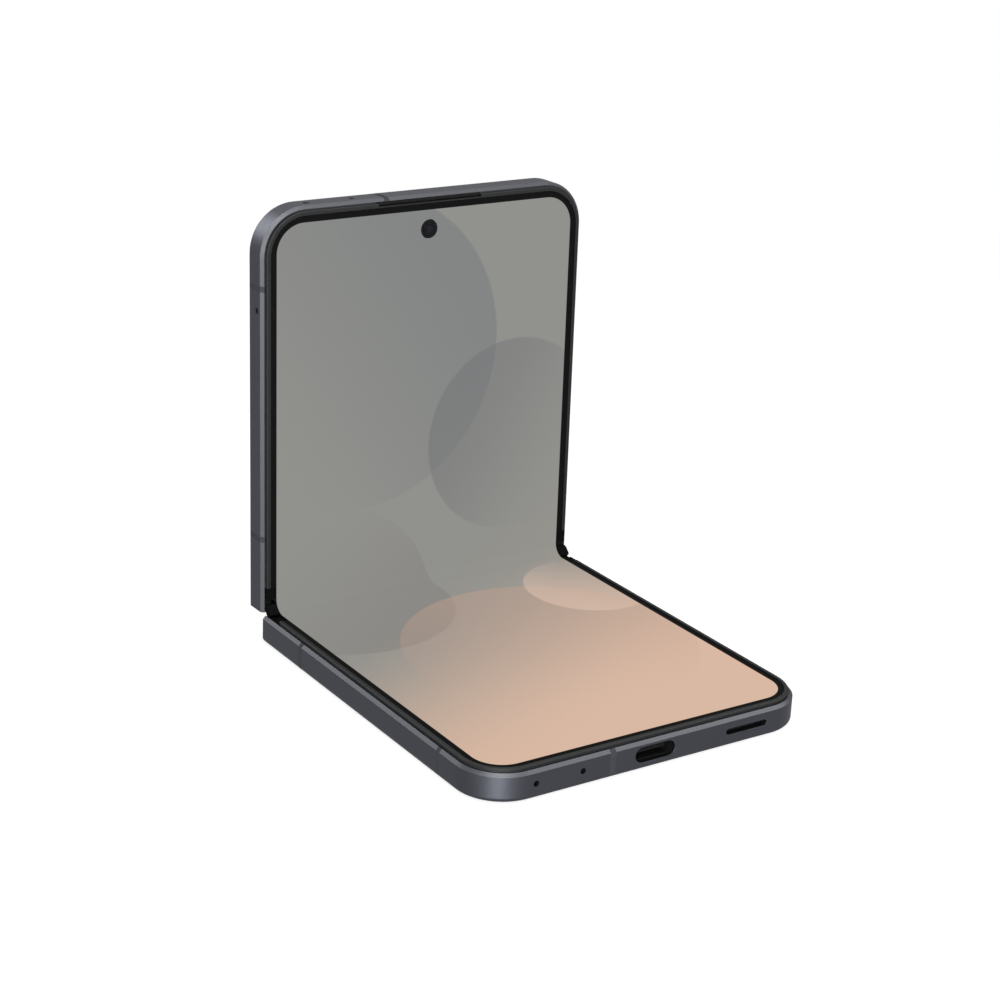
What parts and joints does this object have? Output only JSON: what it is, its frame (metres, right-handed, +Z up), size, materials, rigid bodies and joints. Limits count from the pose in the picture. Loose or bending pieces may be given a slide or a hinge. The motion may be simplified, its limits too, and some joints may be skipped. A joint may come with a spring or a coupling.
{
  "type": "foldable smartphone",
  "caption": "Clamshell foldable smartphone standing half open, with a bending inner display, a two-axis hinge, side keys and a card tray.",
  "frame": {"origin": "centre of the bounding box in X and Y, at the underside of the lower half, with the phone half open", "axes": "+X across the phone to the right as its user sees it, +Y from the user towards the hinge, +Z up, which the upper half follows to within one degree"},
  "size_m": [0.0756, 0.092, 0.0893],
  "materials": {
    "frame": "matt anodised dark blue-grey",
    "band": "moulded band, a little darker than the frame",
    "back_glass": "frosted dark glass back",
    "cover_glass": "glossy black cover glass over the outer display",
    "cover_panel": "display panel behind the cover glass",
    "bezel": "raised soft dark bezel",
    "display": "lit display under a glossy film",
    "steel": "bare machined steel",
    "can": "nickel-plated sheet",
    "battery": "black foil pouch",
    "board": "green circuit board",
    "black_plastic": "black moulded plastic",
    "lens": "dark coated glass",
    "ring": "turned aluminium ring",
    "lamp": "pale diffuser",
    "copper": "wound copper",
    "flex": "amber polyimide",
    "card": "white plastic card"
  },
  "bodies": {
    "lower_half": {"lower_frame": "frame", "lower_antenna_bands": "band", "lower_back_glass": "back_glass", "lower_bezel": "bezel", "lower_fold_seals": "bezel", "lower_display": "display", "lower_display_plate": "steel", "lower_hinge_plates": "steel", "lower_screws": "steel", "lower_battery": "battery", "sub_board": "board", "usb_socket": "can", "loudspeaker": "black_plastic", "lower_microphones": "can", "vibration_motor": "can", "charging_coil": "copper"},
    "hinge_spine": {"spine_cover": "frame", "hinge_brackets": "steel", "hinge_end_caps": "bezel", "friction_clips": "steel", "display_fold": "display", "hinge_flex": "flex"},
    "upper_half": {"upper_frame": "frame", "upper_antenna_bands": "band", "cover_glass": "cover_glass", "cover_display": "cover_panel", "upper_bezel": "bezel", "upper_fold_seals": "bezel", "upper_display": "display", "upper_display_plate": "steel", "upper_hinge_plates": "steel", "upper_screws": "steel", "upper_battery": "battery", "main_board": "board", "board_shields": "can", "card_reader": "can", "upper_microphones": "can", "earpiece": "black_plastic", "earpiece_mesh": "black_plastic", "selfie_camera": "lens", "camera_rings": "ring", "camera_glasses": "lens", "camera_modules": "black_plastic", "lamp": "lamp", "key_switches": "can"},
    "lower_sync": {"lower_sync_arms": "steel"},
    "lower_idler": {"lower_idlers": "steel"},
    "upper_idler": {"upper_idlers": "steel"},
    "upper_sync": {"upper_sync_arms": "steel"},
    "lower_wing_body": {"lower_wing": "steel"},
    "upper_wing_body": {"upper_wing": "steel"},
    "power_key_body": {"power_key": "frame"},
    "volume_body": {"volume_rocker": "frame"},
    "tray_body": {"card_tray": "frame", "sim_card": "card"}
  },
  "joints": [
    {"name": "fold_lower", "type": "hinge", "parent": "lower_half", "child": "hinge_spine", "pos_m": [-0.00022, 0.03598, 0.00545], "axis": [1, 0, 0], "range_deg": [-44.5, 45.5], "deforming": ["display_fold", "hinge_flex"]},
    {"name": "fold_upper", "type": "hinge", "parent": "hinge_spine", "child": "upper_half", "pos_m": [-0.00022, 0.03798, 0.00741], "axis": [1, 0, 0], "range_deg": [-44.5, 45.5]},
    {"name": "lower_sync_turn", "type": "hinge", "parent": "hinge_spine", "child": "lower_sync", "pos_m": [-0.00022, 0.03619, 0.00312], "axis": [1, 0, 0], "range_deg": [-46.5, 46.5]},
    {"name": "lower_idler_turn", "type": "hinge", "parent": "hinge_spine", "child": "lower_idler", "pos_m": [-0.00022, 0.03756, 0.00447], "axis": [1, 0, 0], "range_deg": [-46.5, 46.5]},
    {"name": "upper_idler_turn", "type": "hinge", "parent": "hinge_spine", "child": "upper_idler", "pos_m": [-0.00022, 0.03893, 0.00581], "axis": [1, 0, 0], "range_deg": [-46.5, 46.5]},
    {"name": "upper_sync_turn", "type": "hinge", "parent": "hinge_spine", "child": "upper_sync", "pos_m": [-0.00022, 0.0403, 0.00716], "axis": [1, 0, 0], "range_deg": [-46.5, 46.5]},
    {"name": "lower_wing_tilt", "type": "hinge", "parent": "lower_half", "child": "lower_wing_body", "pos_m": [-0.00022, 0.02838, 0.00515], "axis": [1, 0, 0], "range_deg": [-3.4, 3.4]},
    {"name": "upper_wing_tilt", "type": "hinge", "parent": "upper_half", "child": "upper_wing_body", "pos_m": [-0.00022, 0.03841, 0.01501], "axis": [1, 0, 0], "range_deg": [-3.4, 3.4]},
    {"name": "power_key_press", "type": "slide", "parent": "upper_half", "child": "power_key_body", "axis": [-1, 0, 0], "range_m": [0, 0.00025], "stiffness_N_per_m": 600, "springref_m": -0.0005},
    {"name": "volume_press", "type": "slide", "parent": "upper_half", "child": "volume_body", "axis": [-1, 0, 0], "range_m": [0, 0.00025], "stiffness_N_per_m": 600, "springref_m": -0.0005},
    {"name": "tray_slide", "type": "slide", "parent": "upper_half", "child": "tray_body", "axis": [-1, 0, 0], "range_m": [0, 0.014]}
  ],
  "couplings": [
    {"joint": "fold_upper", "follows": "fold_lower", "ratio": 1},
    {"joint": "lower_sync_turn", "follows": "fold_lower", "ratio": -1},
    {"joint": "lower_idler_turn", "follows": "fold_lower", "ratio": 1},
    {"joint": "upper_idler_turn", "follows": "fold_lower", "ratio": -1},
    {"joint": "upper_sync_turn", "follows": "fold_lower", "ratio": 1},
    {"joint": "lower_wing_tilt", "follows": "fold_lower", "ratio": -0.072222},
    {"joint": "upper_wing_tilt", "follows": "fold_lower", "ratio": 0.072222}
  ]
}
